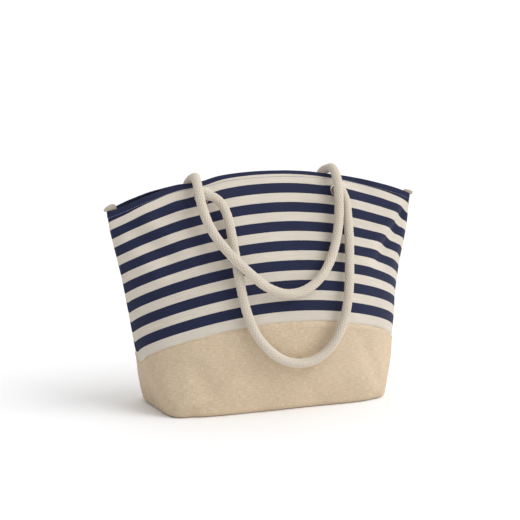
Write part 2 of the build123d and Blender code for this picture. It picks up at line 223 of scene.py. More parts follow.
class Shader:
    """One node material being put together."""

    def __init__(self, name, **settings):
        self.material = bpy.data.materials.new(name)
        self.material.use_nodes = True
        self.nodes = self.material.node_tree.nodes
        self.links = self.material.node_tree.links
        self.surface = self.nodes["Principled BSDF"]
        for key, value in settings.items():
            self.surface.inputs[key.replace("_", " ")].default_value = value

    def add(self, kind, inputs=(), output=0, **settings):
        """A node whose inputs are numbers, colours or other nodes' outputs, given in order or by name."""
        node = self.nodes.new(kind)
        for key, value in settings.items():
            setattr(node, key, value)
        pairs = inputs.items() if isinstance(inputs, dict) else enumerate(inputs)
        for key, value in pairs:
            if value is None:
                continue
            if isinstance(value, bpy.types.NodeSocket):
                self.links.new(value, node.inputs[key])
            else:
                node.inputs[key].default_value = value
        return node.outputs[output]

    def math(self, operation, *values):
        return self.add("ShaderNodeMath", values, operation=operation)

    def mix(self, factor, first, second, blend="MIX"):
        node = self.nodes.new("ShaderNodeMix")
        node.data_type = "RGBA"
        node.blend_type = blend
        for key, value in ((0, factor), (6, first), (7, second)):
            if isinstance(value, bpy.types.NodeSocket):
                self.links.new(value, node.inputs[key])
            else:
                node.inputs[key].default_value = value
        return node.outputs[2]

    def fabric(self):
        """The fabric map's u and v."""
        uv = self.add("ShaderNodeUVMap", uv_map="fabric")
        split = self.nodes.new("ShaderNodeSeparateXYZ")
        self.links.new(uv, split.inputs[0])
        return uv, split.outputs[0], split.outputs[1]

    def cloud(self, place, stretch, scale=1.0, detail=3.0, roughness=0.6):
        """Noise over a place whose axes are first stretched."""
        scaled = self.add("ShaderNodeVectorMath", (place, stretch), operation="MULTIPLY")
        return self.add("ShaderNodeTexNoise", {"Vector": scaled, "Scale": scale, "Detail": detail,
                                               "Roughness": roughness})

    def level(self, value, low, high, to_low=0.0, to_high=1.0):
        return self.add("ShaderNodeMapRange", (value, low, high, to_low, to_high))

    def weave(self, u, v, pitch):
        """Plain weave: crowns where a thread lies on top."""
        across = self.math("SINE", self.math("MULTIPLY", u, math.pi / pitch))
        along = self.math("SINE", self.math("MULTIPLY", v, math.pi / pitch))
        return self.math("ABSOLUTE", self.math("MULTIPLY", across, along))

    def bump(self, *layers):
        """Bump from (height, distance in metres) layers, finest last."""
        normal = None
        for height, distance in layers:
            inputs = {"Strength": 1.0, "Distance": distance, "Height": height}
            if normal is not None:
                inputs["Normal"] = normal
            normal = self.add("ShaderNodeBump", inputs)
        self.links.new(normal, self.surface.inputs["Normal"])

    def colour(self, value):
        self.links.new(value, self.surface.inputs["Base Color"])
        return self.material

    def roughness(self, value):
        self.links.new(value, self.surface.inputs["Roughness"])


STRIPE_START, STRIPE_PITCH, STRIPE_WIDTH = 0.016, 0.0302, 0.0157    # from the seam upwards
NAVY, NAVY_LIGHT = linear(26, 31, 57), linear(38, 44, 73)
CREAM, CREAM_DARK = linear(219, 211, 199), linear(199, 190, 176)


def striped_canvas():
    """Yarn-dyed canvas: navy and cream bars across, with slubs along the weft."""
    shader = Shader("striped_canvas", Sheen_Weight=0.05, Sheen_Roughness=0.5, Specular_IOR_Level=0.25)
    uv, u, v = shader.fabric()
    slub = shader.cloud(uv, (22, 1700, 1), detail=2)
    warp = shader.cloud(uv, (1500, 18, 1), detail=2)
    patches = shader.cloud(uv, (14, 14, 1), detail=4)
    waver = shader.math("MULTIPLY", shader.math("SUBTRACT", shader.cloud(uv, (260, 60, 1)), 0.5), 0.0006)
    place = shader.math("ADD", shader.math("SUBTRACT", v, STRIPE_START), waver)
    phase = shader.add("ShaderNodeMath", (place, STRIPE_PITCH), operation="FLOORED_MODULO")
    edge = 0.00025
    rising = shader.level(phase, 0.0, edge)
    falling = shader.level(phase, STRIPE_WIDTH, STRIPE_WIDTH + edge, 1.0, 0.0)
    navy_share = shader.math("MULTIPLY", rising, falling)
    navy = shader.mix(shader.level(slub, 0.35, 0.7), NAVY, NAVY_LIGHT)
    cream = shader.mix(shader.level(slub, 0.3, 0.75), CREAM, CREAM_DARK)
    cream = shader.mix(shader.level(warp, 0.55, 0.8, 0.0, 0.35), cream, CREAM_DARK)
    colour = shader.mix(navy_share, cream, navy)
    tone = shader.level(patches, 0.3, 0.7, 0.94, 1.05)
    colour = shader.mix(1.0, colour, tone, "MULTIPLY")
    threads = shader.weave(u, v, 0.00075)
    shader.bump((patches, 0.0006), (slub, 0.00006), (threads, 0.00009))
    shader.roughness(shader.level(slub, 0.2, 0.8, 0.78, 0.92))
    return shader.colour(colour)


def base_cloth():
    """Natural cotton and jute cloth: a slubby, heathered plain weave."""
    shader = Shader("base_cloth", Sheen_Weight=0.06, Sheen_Roughness=0.5, Specular_IOR_Level=0.25)
    uv, u, v = shader.fabric()
    weft = shader.cloud(uv, (110, 1100, 1), detail=2)
    warp = shader.cloud(uv, (1100, 110, 1), detail=2)
    patches = shader.cloud(uv, (12, 12, 1), detail=4)
    light, dark, gold = linear(222, 203, 176), linear(192, 174, 151), linear(197, 174, 144)
    colour = shader.mix(shader.level(weft, 0.35, 0.68), light, dark)
    colour = shader.mix(shader.level(warp, 0.4, 0.65, 0.0, 0.7), colour, gold)
    colour = shader.mix(1.0, colour, shader.level(patches, 0.3, 0.7, 0.93, 1.06), "MULTIPLY")
    threads = shader.weave(u, v, 0.0011)
    shader.bump((patches, 0.0008), (weft, 0.00006), (warp, 0.00006), (threads, 0.00010))
    shader.roughness(shader.level(weft, 0.2, 0.8, 0.8, 0.95))
    return shader.colour(colour)


def cotton_rope():
    """Soft braided cotton, pale on the crowns, with painted shade: grey-brown in the grooves."""
    shader = Shader("cotton_rope", Sheen_Weight=0.08, Sheen_Roughness=0.5, Specular_IOR_Level=0.2)
    place = shader.add("ShaderNodeTexCoord", output=3)
    crown = shader.add("ShaderNodeAttribute", attribute_name="crown", output=2)
    fibre = shader.cloud(place, (900, 900, 900), detail=4)
    soil = shader.cloud(place, (22, 22, 22), detail=3)
    # Painted shade: the grooves between the strands get a dark grey-brown, blended in by the crown height,
    # where shade falls.
    pale, painted_groove_shade = linear(216, 206, 191), linear(104, 90, 74)
    colour = shader.mix(shader.level(crown, 0.0, 0.50), painted_groove_shade, pale)
    colour = shader.mix(shader.level(soil, 0.35, 0.75, 0.0, 0.35), colour, linear(198, 185, 166))
    colour = shader.mix(1.0, colour, shader.level(fibre, 0.25, 0.75, 0.92, 1.05), "MULTIPLY")
    shader.bump((soil, 0.0004), (fibre, 0.00025))
    shader.roughness(shader.level(fibre, 0.2, 0.8, 0.85, 0.97))
    return shader.colour(colour)


def thread_cotton(name, colour_code):
    """Twisted sewing thread."""
    shader = Shader(name, Sheen_Weight=0.2, Specular_IOR_Level=0.3)
    place = shader.add("ShaderNodeTexCoord", output=3)
    twist = shader.cloud(place, (2500, 2500, 2500), detail=2)
    colour = shader.mix(shader.level(twist, 0.3, 0.7, 0.0, 0.5), colour_code, (0.2, 0.2, 0.24, 1))
    shader.bump((twist, 0.0001))
    shader.roughness(shader.level(twist, 0.2, 0.8, 0.55, 0.8))
    return shader.colour(colour)


def zip_tape_cloth():
    """Cream herringbone tape, with painted shade in the valleys of its ribs."""
    shader = Shader("zip_tape_cloth", Sheen_Weight=0.1, Specular_IOR_Level=0.3)
    uv, u, v = shader.fabric()
    zigzag = shader.math("PINGPONG", v, 0.0011)
    ribs = shader.math("SINE", shader.math("MULTIPLY", shader.math("ADD", u, zigzag), math.tau / 0.0009))
    fuzz = shader.cloud(uv, (900, 900, 1), detail=3)
    # Painted shade: the rib valleys are coloured darker, following the rib height.
    colour = shader.mix(shader.level(ribs, -1.0, 1.0, 0.0, 0.6), linear(184, 171, 151), linear(212, 202, 186))
    colour = shader.mix(1.0, colour, shader.level(fuzz, 0.3, 0.7, 0.93, 1.04), "MULTIPLY")
    shader.bump((fuzz, 0.0001), (ribs, 0.00012))
    shader.roughness(shader.level(fuzz, 0.2, 0.8, 0.75, 0.9))
    return shader.colour(colour)


def worn_metal(name, tint, shade, rough):
    """Plated metal with fine scratches and dull patches."""
    shader = Shader(name, Metallic=1.0)
    place = shader.add("ShaderNodeTexCoord", output=3)
    scratches = shader.cloud(place, (4000, 500, 900), detail=3)
    patches = shader.cloud(place, (260, 260, 260), detail=3)
    colour = shader.mix(shader.level(patches, 0.35, 0.7), tint, shade)
    shader.bump((patches, 0.00004), (scratches, 0.00003))
    shader.roughness(shader.level(patches, 0.3, 0.7, rough, rough + 0.16))
    return shader.colour(colour)


CANVAS = striped_canvas()
BASE_CLOTH = base_cloth()
ROPE_COTTON = cotton_rope()
TAPE_CLOTH = zip_tape_cloth()
HEM_THREAD = thread_cotton("hem_thread", linear(120, 124, 142))
TEETH_BRASS = worn_metal("teeth_brass", linear(196, 160, 112), linear(150, 116, 74), 0.32)
SLIDER_METAL = worn_metal("slider_metal", linear(206, 178, 132), linear(168, 138, 94), 0.26)
EYELET_METAL = worn_metal("eyelet_nickel", linear(208, 202, 188), linear(165, 157, 142), 0.22)

# ---------------------------------------------------------------- camera
CAMERA_AZIMUTH, CAMERA_ELEVATION = math.radians(-22.2), math.radians(9.6)
CAMERA_DISTANCE = 2.78
sin_a, cos_a = math.sin(CAMERA_AZIMUTH), math.cos(CAMERA_AZIMUTH)
sin_e, cos_e = math.sin(CAMERA_ELEVATION), math.cos(CAMERA_ELEVATION)
CAMERA_BACK = Vector((sin_a * cos_e, -cos_a * cos_e, sin_e))
CAMERA_RIGHT = Vector((cos_a, sin_a, 0))
CAMERA_UP = CAMERA_BACK.cross(CAMERA_RIGHT)
camera = bpy.data.objects.new("camera", bpy.data.cameras.new("camera"))
bpy.context.scene.collection.objects.link(camera)
bpy.context.scene.camera = camera
camera.data.sensor_width = 36
camera.data.lens = 127
CAMERA_AIM = Vector((0, 0, 0.15)) - CAMERA_RIGHT * 0.0061 + CAMERA_UP * 0.0624
camera.location = CAMERA_AIM + CAMERA_BACK * CAMERA_DISTANCE
camera.rotation_mode = "QUATERNION"
camera.rotation_quaternion = (-CAMERA_BACK).to_track_quat("-Z", "Y")
camera.data.clip_start, camera.data.clip_end = 0.05, 200


# ---------------------------------------------------------------- eyelet seats, read from the frame
def eyelet_seat(position):
    """Centre on the cloth and outward direction of an eyelet."""
    co = np.array([v.co for v in NODES[f"{position}_eyelet"].data.vertices])
    low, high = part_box(f"{position}_eyelet")
    middle = np.array((low + high) / 2)
    _, directions = np.linalg.eigh(np.cov((co - middle).T))
    outward = directions[:, 0]
    outward = outward * np.sign(outward[1] * middle[1])
    centre = co.mean(0)
    top = ((co - centre) @ outward).max()
    return centre + outward * (top - EYELET_DOME), outward


EYELETS = {f"{side}_{hand}": eyelet_seat(f"{side}_{hand}")
           for side in ("front", "back") for hand in ("left", "right")}

# ---------------------------------------------------------------- rope handles
PIVOT_OUT = 0.0123                          # a handle turns this far out from the cloth
STUB_IN = 0.016                             # the rope turns down this far inside the bag
FRONT_ROUTE = [
    (-0.093, -0.0405, 0.319),
    (-0.082, -0.049, 0.303),
    (-0.078, -0.058, 0.281),
    (-0.076, -0.074, 0.240),
    (-0.075, -0.091, 0.196),
    (-0.068, -0.101, 0.152),
    (-0.050, -0.102, 0.113),
    (-0.015, -0.101, 0.080),
    (0.028, -0.100, 0.070),
    (0.064, -0.101, 0.088),
    (0.085, -0.102, 0.124),
    (0.096, -0.098, 0.166),
    (0.104, -0.083, 0.208),
    (0.111, -0.066, 0.250),
    (0.115, -0.050, 0.284),
    (0.116, -0.043, 0.303),
]
BACK_ROUTE = [
    (-0.1085, 0.0385, 0.330),
    (-0.105, 0.031, 0.3380),
    (-0.105, 0.013, 0.3432),
    (-0.1155, -0.018, 0.3445),
    (-0.121, -0.043, 0.334),
    (-0.120, -0.0555, 0.306),
    (-0.109, -0.064, 0.272),
    (-0.088, -0.090, 0.238),
    (-0.064, -0.101, 0.214),
    (-0.036, -0.100, 0.189),
    (0.000, -0.099, 0.176),
    (0.036, -0.097, 0.184),
    (0.066, -0.088, 0.210),
    (0.087, -0.072, 0.246),
    (0.097, -0.060, 0.283),
    (0.1000, -0.0505, 0.318),
    (0.102, -0.040, 0.338),
    (0.105, -0.018, 0.3520),
    (0.109, 0.013, 0.3460),
    (0.109, 0.032, 0.340),
    (0.109, 0.039, 0.331),
]
PLAITS = 10                                 # strands of the braid each way
PLAIT_PITCH = 0.0042                        # along the rope
BRAID_DEPTH = 0.0012
ROPE_STEP = 0.00065
ROPE_SIDES = 72


def spline_line(route):
    """Points of the NURBS spline that has the route's points as its control points."""
    curve = bpy.data.curves.new("route", "CURVE")
    curve.dimensions = "3D"
    curve.resolution_u = 24
    spline = curve.splines.new("NURBS")
    spline.points.add(len(route) - 1)
    for point, place in zip(spline.points, route):
        point.co = (*place, 1)
    spline.order_u = 3
    spline.use_endpoint_u = True
    holder = bpy.data.objects.new("route", curve)
    mesh = bpy.data.meshes.new_from_object(holder)
    points = np.array([v.co for v in mesh.vertices])
    bpy.data.objects.remove(holder)
    bpy.data.curves.remove(curve)
    bpy.data.meshes.remove(mesh)
    return points


def carried_frames(points):
    """Tangents and two cross directions that turn with a line without twisting."""
    tangents = unit(np.gradient(points, axis=0))
    side = np.cross(tangents[0], (0, 0, 1.0))
    if np.linalg.norm(side) < 0.1:
        side = np.cross(tangents[0], (1.0, 0, 0))
    sides = [unit(side)]
    for tangent in tangents[1:]:
        sides.append(unit(sides[-1] - tangent * (sides[-1] @ tangent)))
    sides = np.array(sides)
    return tangents, sides, np.cross(tangents, sides)


def braid_height(around, along):
    """0 in the grooves and 1 on the crowns of a two-way braid."""
    lean = around * PLAITS / math.tau
    one, other = lean + along / PLAIT_PITCH / 2, lean - along / PLAIT_PITCH / 2
    over = (np.floor(one) + np.floor(other)) % 2 < 1
    first, second = np.abs(2 * (one % 1) - 1), np.abs(2 * (other % 1) - 1)
    across, length = np.where(over, first, second), np.where(over, second, first)
    return np.sqrt(np.maximum(0, 1 - across ** 2)) * (1 - 0.55 * length ** 2)


def rope_tube(name, line, radius=ROPE_R, start=0.0, step=ROPE_STEP, sides=ROPE_SIDES):
    """A braided tube round a line; start is how far along the rope it begins."""
    total = running_length(line)[-1]
    along = np.linspace(0, total, max(8, int(total / step)))
    points = resample(line, along)
    _, first, second = carried_frames(points)
    angle = np.linspace(0, math.tau, sides, endpoint=False)
    height = braid_height(angle[None, :], (along + start)[:, None])
    place = along + start
    soft = 1 + (0.014 * np.sin(place * 90) + 0.010 * np.sin(place * 233 + 1))[:, None]
    reach = radius * soft - BRAID_DEPTH * (1 - height)
    ring = first[:, None] * np.cos(angle)[None, :, None] + second[:, None] * np.sin(angle)[None, :, None]
    surface = (points[:, None] + ring * reach[..., None]).reshape(-1, 3)
    quads = [tuple(q) for q in grid_faces(len(along), sides, around=True)]
    caps = [tuple(range(sides))[::-1], tuple(range((len(along) - 1) * sides, len(along) * sides))]
    piece = mesh_object(name, surface, quads + caps)
    set_values(piece, "crown", height)
    return piece


def whole_line(side_name, route):
    """The rope's line from inside one eyelet to inside the other."""
    ends = []
    for hand in ("left", "right"):
        seat, outward = EYELETS[f"{side_name}_{hand}"]
        ends.append([tuple(seat + outward * reach) for reach in (-STUB_IN, -0.004, 0.004, PIVOT_OUT)])
    return spline_line(ends[0] + route + ends[1][::-1])


front_line = whole_line("front", FRONT_ROUTE)
front_rope = rope_tube("front_rope", front_line)
finish_piece(front_rope, None, ROPE_COTTON, ["front_handle_rope"])
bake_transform(front_rope)

# The back rope turns as one piece, but for a short end at each eyelet, made as a piece of its own.
BACK_END = 0.048
back_line = whole_line("back", BACK_ROUTE)
back_total = running_length(back_line)[-1]
back_along = running_length(back_line)
inner = (back_along > BACK_END) & (back_along < back_total - BACK_END)
ends_at = resample(back_line, np.array([BACK_END, back_total - BACK_END]))
back_middle = np.vstack([ends_at[0], back_line[inner], ends_at[1]])
back_rope = rope_tube("back_rope", back_middle, start=BACK_END)
finish_piece(back_rope, "back_handle", ROPE_COTTON, ["back_handle_rope"])
back_ends = []
for hand, points, start in (
    ("left", np.vstack([back_line[back_along < BACK_END], ends_at[0]]), 0.0),
    ("right", np.vstack([ends_at[1], back_line[back_along > back_total - BACK_END]]), back_total - BACK_END),
):
    end_piece = rope_tube(f"back_rope_{hand}_end", points, start=start)
    finish_piece(end_piece, None, ROPE_COTTON)
    seat, outward = EYELETS[f"back_{hand}"]
    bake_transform(end_piece)
    back_ends.append(end_piece)

# Overhand knots inside the bag, each with a short tail.
KNOT_DROP = 0.024
KNOT_SCALE = 0.0033
KNOT_LIFT = 0.0055


def knot_route(seat, outward, side):
    """From the end of the stub down into an overhand knot and out to its tail."""
    down = unit(np.array([0, 0.35 * side, -0.94]))
    across = np.array([1.0, 0, 0])
    deep = np.cross(down, across)
    stub = seat - outward * STUB_IN
    middle = stub + down * KNOT_DROP
    route = [seat - outward * 0.010, stub, stub + down * 0.006]
    for turn in np.linspace(math.radians(30), math.radians(330), 16):
        flat = (across * (math.sin(turn) + 2 * math.sin(2 * turn))
                + down * (math.cos(turn) - 2 * math.cos(2 * turn)))
        route.append(middle + KNOT_SCALE * flat - deep * KNOT_LIFT * math.sin(3 * turn))
    route += [middle + down * 0.012, middle + down * 0.020]
    return [tuple(point) for point in route]


KNOT_PIECES = {"front": [], "back": back_ends}
for position, (seat, outward) in EYELETS.items():
    side_name, hand = position.split("_")
    side = FRONT if side_name == "front" else BACK
    knot = rope_tube(f"{position}_rope_knot", spline_line(knot_route(seat, outward, side)), radius=0.0058,
                     step=0.0011, sides=36)
    finish_piece(knot, "bag", ROPE_COTTON, [f"{position}_knot"])
    KNOT_PIECES[side_name].append(knot)


# ---------------------------------------------------------------- rows of cloth round the body
END_BUNCH = np.linspace(0, 1, 220) ** 2 * math.pi / 2
ACROSS = np.concatenate([-np.cos(END_BUNCH), np.cos(END_BUNCH)[-2::-1]])


def cloth_row(height_of, side, fractions):
    """One row of cloth from the left side seam to the right, at fractions of its length.

    height_of gives the height from the length along the row, measured from its middle.
    """
    along = 0.24 * ACROSS
    for _ in range(8):
        z = height_of(along)
        x = float(half_width(z[-1])) * ACROSS
        points = np.stack([x, side * depth_at(x, z), z], axis=1)
        lengths = running_length(points)
        along = lengths - lengths[-1] / 2
    return resample(points, fractions * lengths[-1]), lengths[-1]


def arch_drop(along, radius):
    """How far an arched row has dropped at a length from its middle."""
    return radius - np.sqrt(radius ** 2 - np.asarray(along) ** 2)


def arch(height, radius):
    """Height along a row that arches up to its middle."""
    return lambda along: height - arch_drop(along, radius)


def mouth_lean(x, below):
    """How far a panel leans in towards the middle, this far below its edge."""
    edge = EDGE_HEIGHT - arch_drop(x, EDGE_RADIUS)
    share = 1 - OPEN_END * smoothstep(0.145, 0.185, np.abs(x))
    return share * np.maximum(0, depth_at(x, edge) - MOUTH_GAP) * (1 - smoothstep(0, MOUTH_LEAN, below))


def outward_normals(grid, side):
    along = np.gradient(grid, axis=1)
    down = np.gradient(grid, axis=0)
    normals = unit(np.cross(along, down))
    return normals * np.sign((normals[..., 1] * side).sum())


SIDE_FINE = np.array([0, 0.5, 1, 1.6, 2.3, 3.1, 4, 5, 6.2, 7.6]) / 1000


def column_fractions(length, spacing=0.0019):
    middle = np.linspace(SIDE_FINE[-1], length - SIDE_FINE[-1], int(length / spacing))[1:-1]
    return np.concatenate([SIDE_FINE, middle, length - SIDE_FINE[::-1]]) / length


# Soft folds in the cloth: (start x, z), (end x, z), half width, height out of the surface.
CANVAS_FOLDS = {
    FRONT: [
        ((0.246, 0.290), (0.162, 0.208), 0.0060, -0.0040),
        ((0.226, 0.294), (0.144, 0.218), 0.0110, 0.0032),
        ((0.246, 0.266), (0.190, 0.200), 0.0100, 0.0024),
        ((-0.225, 0.285), (-0.150, 0.215), 0.0120, -0.0038),
        ((-0.205, 0.300), (-0.130, 0.235), 0.0130, 0.0036),
        ((-0.236, 0.262), (-0.170, 0.190), 0.0130, 0.0034),
        ((-0.096, 0.310), (-0.092, 0.205), 0.0110, -0.0020),
        ((-0.150, 0.318), (-0.142, 0.240), 0.0140, 0.0030),
        ((0.020, 0.290), (0.060, 0.215), 0.0200, 0.0012),
        ((-0.010, 0.330), (-0.040, 0.240), 0.0200, -0.0010),
        ((0.125, 0.335), (0.140, 0.270), 0.0140, 0.0012),
    ],
    BACK: [
        ((0.205, 0.290), (0.140, 0.205), 0.0110, -0.0022),
        ((-0.210, 0.290), (-0.150, 0.210), 0.0110, -0.0024),
        ((0.110, 0.305), (0.100, 0.215), 0.0120, -0.0020),
        ((-0.110, 0.305), (-0.105, 0.215), 0.0120, -0.0018),
        ((0.010, 0.320), (-0.030, 0.210), 0.0220, 0.0018),
    ],
}
BASE_FOLDS = {
    FRONT: [
        ((-0.176, -0.006), (-0.118, 0.020), 0.0045, -0.0036),
        ((-0.170, 0.012), (-0.130, 0.028), 0.0080, 0.0020),
        ((-0.165, 0.085), (-0.168, 0.020), 0.0140, -0.0026),
        ((0.178, -0.004), (0.140, 0.012), 0.0040, -0.0018),
        ((0.172, 0.085), (0.168, 0.020), 0.0120, -0.0016),
        ((-0.080, 0.110), (-0.020, 0.030), 0.0200, -0.0032),
        ((0.078, 0.128), (0.012, 0.050), 0.0140, -0.0048),
        ((0.120, 0.118), (0.165, 0.010), 0.0120, -0.0034),
        ((-0.150, 0.090), (-0.105, 0.018), 0.0160, -0.0036),
        ((0.100, 0.090), (0.130, 0.020), 0.0240, 0.0012),
    ],
    BACK: [
        ((-0.176, -0.004), (-0.130, 0.014), 0.0040, -0.0020),
        ((0.176, -0.004), (0.130, 0.014), 0.0040, -0.0020),
        ((-0.060, 0.110), (-0.020, 0.030), 0.0260, -0.0014),
        ((0.110, 0.100), (0.080, 0.030), 0.0260, 0.0014),
    ],
}


def fold_height(grid, folds):
    """How far the folds lift the cloth at each point of a grid."""
    place = grid[..., [0, 2]]
    lift = np.zeros(grid.shape[:-1])
    for start, end, width, height in folds:
        start, run = np.array(start), np.array(end) - np.array(start)
        length = np.linalg.norm(run)
        share = ((place - start) @ run) / length ** 2
        aside = (place - start) @ np.array([-run[1], run[0]]) / length
        taper = smoothstep(-0.12, 0.22, share) * (1 - smoothstep(0.72, 1.15, share))
        lift += height * bell(aside, width) * taper
    return lift


def soft_noise(grid, size, seed):
    """Gentle unevenness, from -1 to 1, with bumps of the given size."""
    shift = Vector((seed * 7.3, seed * 1.7, seed * 3.1))
    flat = grid.reshape(-1, 3) / size
    return np.array([noise.noise(Vector(p) + shift) for p in flat]).reshape(grid.shape[:-1])


# ---------------------------------------------------------------- striped canvas panels
UP_Z = np.linspace(SEAM_HEIGHT, 0.368, 320)
UP_LENGTH = running_length(np.stack([UP_Z * 0, np.maximum(half_depth(UP_Z), 0), UP_Z], axis=1))
CANVAS_DROP = float(np.interp(EDGE_HEIGHT, UP_Z, UP_LENGTH))
STRIPED_DROP = 0.2324                       # length of the stripe pattern, seam to edge, at the middle
STRIPE_LOW, STRIPE_HIGH = 0.002, 0.242      # cloth nearer a cut edge keeps this stripe's colour
ROWS_S = np.concatenate([
    np.arange(0, 0.0135, 0.0007),
    np.linspace(0.0140, CANVAS_DROP - 0.006, 112),
    np.linspace(CANVAS_DROP - 0.005, CANVAS_DROP, 8),
])
CREASE_START, CREASE_END = np.array((0.246, 0.290)), np.array((0.162, 0.208))
CREASE_SLIP = 0.0042
FULLER_RIGHT, CORNER_IN, CORNER_UP = 0.0065, 0.0030, 0.0028
CORNER_DIP = 0.0018                         # the front edge sags near the left corner
ROPE_PRESSES = ((-0.104, 0.0042), (0.107, 0.0008))      # where the back rope lies on the edges


def crease_slip(grid):
    """How far the cloth right of the crease has slid down."""
    run = CREASE_END - CREASE_START
    length = np.linalg.norm(run)
    place = grid[..., [0, 2]] - CREASE_START
    share = place @ run / length ** 2
    aside = place @ np.array([-run[1], run[0]]) / length
    along = smoothstep(-0.35, 0.15, share) * (1 - smoothstep(0.55, 1.3, share))
    return CREASE_SLIP * smoothstep(-0.004, 0.006, aside) * along


def flatten_at_eyelets(grid, side):
    """Presses the cloth flat under each eyelet and draws the points near the hole onto its rim."""
    for position, (seat, outward) in EYELETS.items():
        if position.startswith(SIDE_NAMES[side]):
            away = grid - seat
            rise = away @ outward
            flat = away - rise[..., None] * outward
            radius = np.linalg.norm(flat, axis=-1)
            mask = 1 - smoothstep(0.0125, 0.024, radius)
            grid = grid - (mask * (rise - 0.0003))[..., None] * outward
            near_rim = (np.abs(radius - CLOTH_HOLE_R) < 0.00095) & (np.abs(rise) < 0.02)
            shift = np.where(near_rim, CLOTH_HOLE_R - radius, 0)
            grid = grid + unit(flat) * shift[..., None]
    return grid


def eyelet_faces(centres, side):
    """True for faces that lie in an eyelet's hole."""
    hidden = np.zeros(len(centres), bool)
    for position, (seat, outward) in EYELETS.items():
        if position.startswith(SIDE_NAMES[side]):
            away = centres - seat
            rise = away @ outward
            radius = np.linalg.norm(away - rise[:, None] * outward, axis=1)
            hidden |= (radius < CLOTH_HOLE_R - 0.0002) & (np.abs(rise) < 0.01)
    return hidden


def settle_right(grid):
    """The right end stands fuller at the seam, and its top corner is drawn in and up."""
    x, z = grid[..., 0], grid[..., 2]
    fuller = FULLER_RIGHT * smoothstep(0.10, 0.21, x) * bell(z - 0.095, 0.075)
    corner = smoothstep(0.15, 0.248, x) * smoothstep(0.22, 0.30, z)
    grid[..., 0] = x + fuller - CORNER_IN * corner
    grid[..., 2] = z + CORNER_UP * corner
    return grid


def stripe_length(along, z):
    """Length of cloth between the seam and the stripe that runs through each point."""
    middle_height = z
    for _ in range(12):
        radius = np.interp(middle_height, (SEAM_HEIGHT, EDGE_HEIGHT), (SEAM_RADIUS, STRIPE_RADIUS))
        middle_height = z + arch_drop(along, radius)
    length = np.interp(middle_height, UP_Z, UP_LENGTH) * STRIPED_DROP / CANVAS_DROP
    return np.clip(length, STRIPE_LOW, STRIPE_HIGH)


def canvas_grid(side):
    """The outer face of one canvas panel, its normals and its fabric map."""
    fractions = column_fractions(0.5)
    heights = np.interp(CANVAS_DROP - ROWS_S, UP_LENGTH, UP_Z)
    radii = np.interp(heights, (SEAM_HEIGHT, EDGE_HEIGHT), (SEAM_RADIUS, EDGE_RADIUS))
    rows = [cloth_row(arch(h, r), side, fractions) for h, r in zip(heights, radii)]
    grid = np.array([points for points, _ in rows])
    lengths = np.array([total for _, total in rows])
    from_seam = np.minimum(fractions, 1 - fractions)[None, :] * lengths[:, None]
    along = (fractions - 0.5)[None, :] * lengths[:, None]
    stripes = stripe_length(along, grid[..., 2])
    s = ROWS_S[:, None] + np.zeros_like(from_seam)
    grid[..., 1] -= side * mouth_lean(grid[..., 0], s)
    normals = outward_normals(grid, side)
    hem = 0.0006 * (1 - smoothstep(HEM - 0.0008, HEM + 0.0004, s)) - 0.0005 * bell(s - HEM_STITCH, 0.0006)
    lift = hem
    lift = lift - 0.0012 * bell(CANVAS_DROP - s, 0.0018) - 0.0016 * bell(from_seam, 0.0022)
    lift = lift + 0.0006 * bell(from_seam - 0.005, 0.003)
    calm = smoothstep(0.0, 0.035, s) * smoothstep(0.0, 0.02, from_seam)
    folds = fold_height(grid, CANVAS_FOLDS[side]) + 0.0011 * soft_noise(grid, 0.055, side + 3)
    lift = lift + calm * folds + 0.00025 * soft_noise(grid, 0.018, side + 9)
    grid = grid + normals * lift[..., None]
    if side == FRONT:
        grid[..., 2] -= crease_slip(grid)
    for place, depth in ROPE_PRESSES:
        grid[..., 2] -= depth * bell(grid[..., 0] - place, 0.024) * bell(s, 0.040)
    if side == FRONT:
        grid[..., 2] -= CORNER_DIP * bell(grid[..., 0] + 0.222, 0.020) * bell(s, 0.030)
    grid = flatten_at_eyelets(settle_right(grid), side)
    normals = outward_normals(grid, side)
    return grid, normals, np.stack([along, stripes], axis=-1)


HEM_ROLL = 0.001                            # radius of the fold at the mouth's edge


def canvas_panel(side):
    """One panel: its outer face, rolled over the mouth's edge into a hem on the inside."""
    grid, normals, uv = canvas_grid(side)
    roll = HEM_ROLL
    top, top_normal = grid[0], normals[0]
    up = unit(grid[0] - grid[2])
    extra, extra_uv = [], []
    for turn in np.linspace(0, math.pi, 8)[1:]:
        extra.append(top - top_normal * roll * (1 - math.cos(turn)) + up * roll * math.sin(turn))
        extra_uv.append(uv[0])
    inner_rows = [row for row, s in enumerate(ROWS_S) if 0 < s < HEM]
    for row in inner_rows:
        extra.append(grid[row] - normals[row] * 2 * roll)
        extra_uv.append(np.stack([uv[0][:, 0], uv[0][:, 1] * 0 + STRIPE_HIGH], axis=-1))
    everything = np.concatenate([np.array(extra)[::-1], grid])
    everything_uv = np.concatenate([np.array(extra_uv)[::-1], uv])
    rows, columns = everything.shape[:2]
    points = everything.reshape(-1, 3)
    quads = grid_faces(rows, columns)
    quads = quads[~eyelet_faces(points[quads].mean(axis=1), side)]
    if side == FRONT:
        quads = quads[:, ::-1]
    used = np.unique(quads)
    number = np.zeros(len(points), int)
    number[used] = np.arange(len(used))
    panel = mesh_object(f"{SIDE_NAMES[side]}_striped_panel", points[used], number[quads])
    set_uv(panel, everything_uv.reshape(-1, 2)[used])
    solidify(panel, CANVAS_THICKNESS)
    return panel, grid, normals


